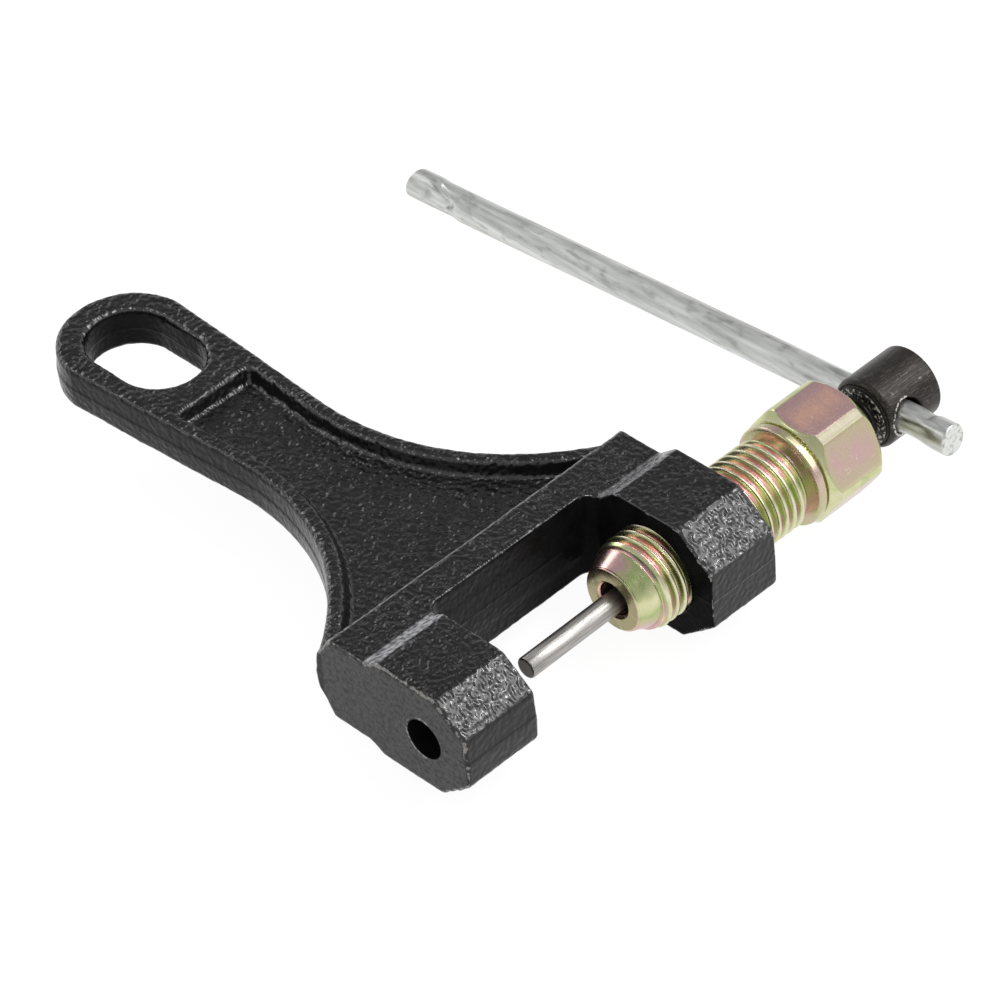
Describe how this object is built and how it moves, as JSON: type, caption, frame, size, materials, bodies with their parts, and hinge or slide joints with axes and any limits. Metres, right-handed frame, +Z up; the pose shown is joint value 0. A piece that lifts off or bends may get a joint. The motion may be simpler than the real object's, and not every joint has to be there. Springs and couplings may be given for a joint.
{
  "type": "chain tool",
  "caption": "Hand chain breaker: cast frame with two jaws and a hang slot, hex pressure bolt with a sprung push pin, drive screw and loose tommy bar.",
  "frame": {"origin": "centre of the anvil bore's mouth, on the front jaw's inner face", "axes": "+Y along the screw from the anvil to the drive head, +X from the handle to the jaws' noses, +Z up out of the casting's flat side"},
  "size_m": [0.1463, 0.1243, 0.0258],
  "materials": {
    "black_casting": "semi-gloss black paint over a rough sand casting",
    "yellow_zinc": "iridescent yellow zinc plating",
    "ground_steel": "bright ground steel",
    "spring_steel": "drawn spring wire",
    "black_oxide": "black oxide with light scratches",
    "white_zinc": "mottled white zinc plating"
  },
  "bodies": {
    "cast_body": {"cast_body": "black_casting"},
    "return_spring": {"return_spring": "spring_steel"},
    "hollow_bolt": {"hollow_bolt": "yellow_zinc"},
    "push_pin": {"push_pin": "ground_steel"},
    "drive_screw": {"drive_screw": "black_oxide"},
    "tommy_bar": {"tommy_bar": "white_zinc"}
  },
  "joints": [
    {"name": "bolt_travel", "type": "slide", "parent": "cast_body", "child": "return_spring", "axis": [0, 1, 0], "range_m": [-0.01551, 0.01201]},
    {"name": "bolt_turn", "type": "hinge", "parent": "return_spring", "child": "hollow_bolt", "pos_m": [0, 0.06, 0], "axis": [0, 1, 0], "range_deg": [-2790, 2160]},
    {"name": "pin_travel", "type": "slide", "parent": "hollow_bolt", "child": "push_pin", "axis": [0, 1, 0], "range_m": [-0.00541, 0.02251], "deforming": ["return_spring"]},
    {"name": "screw_turn", "type": "hinge", "parent": "push_pin", "child": "drive_screw", "pos_m": [0, 0.07, 0], "axis": [0, 1, 0], "range_deg": [-1296, 5400]},
    {"name": "bar_slide", "type": "slide", "parent": "drive_screw", "child": "tommy_bar", "axis": [0.9965, 0, 0.0837], "range_m": [-0.003, 0.1022]}
  ],
  "couplings": [
    {"joint": "bolt_travel", "follows": "bolt_turn", "m_per_rad": 0.00031831},
    {"joint": "pin_travel", "follows": "screw_turn", "m_per_rad": 0.00023873}
  ]
}
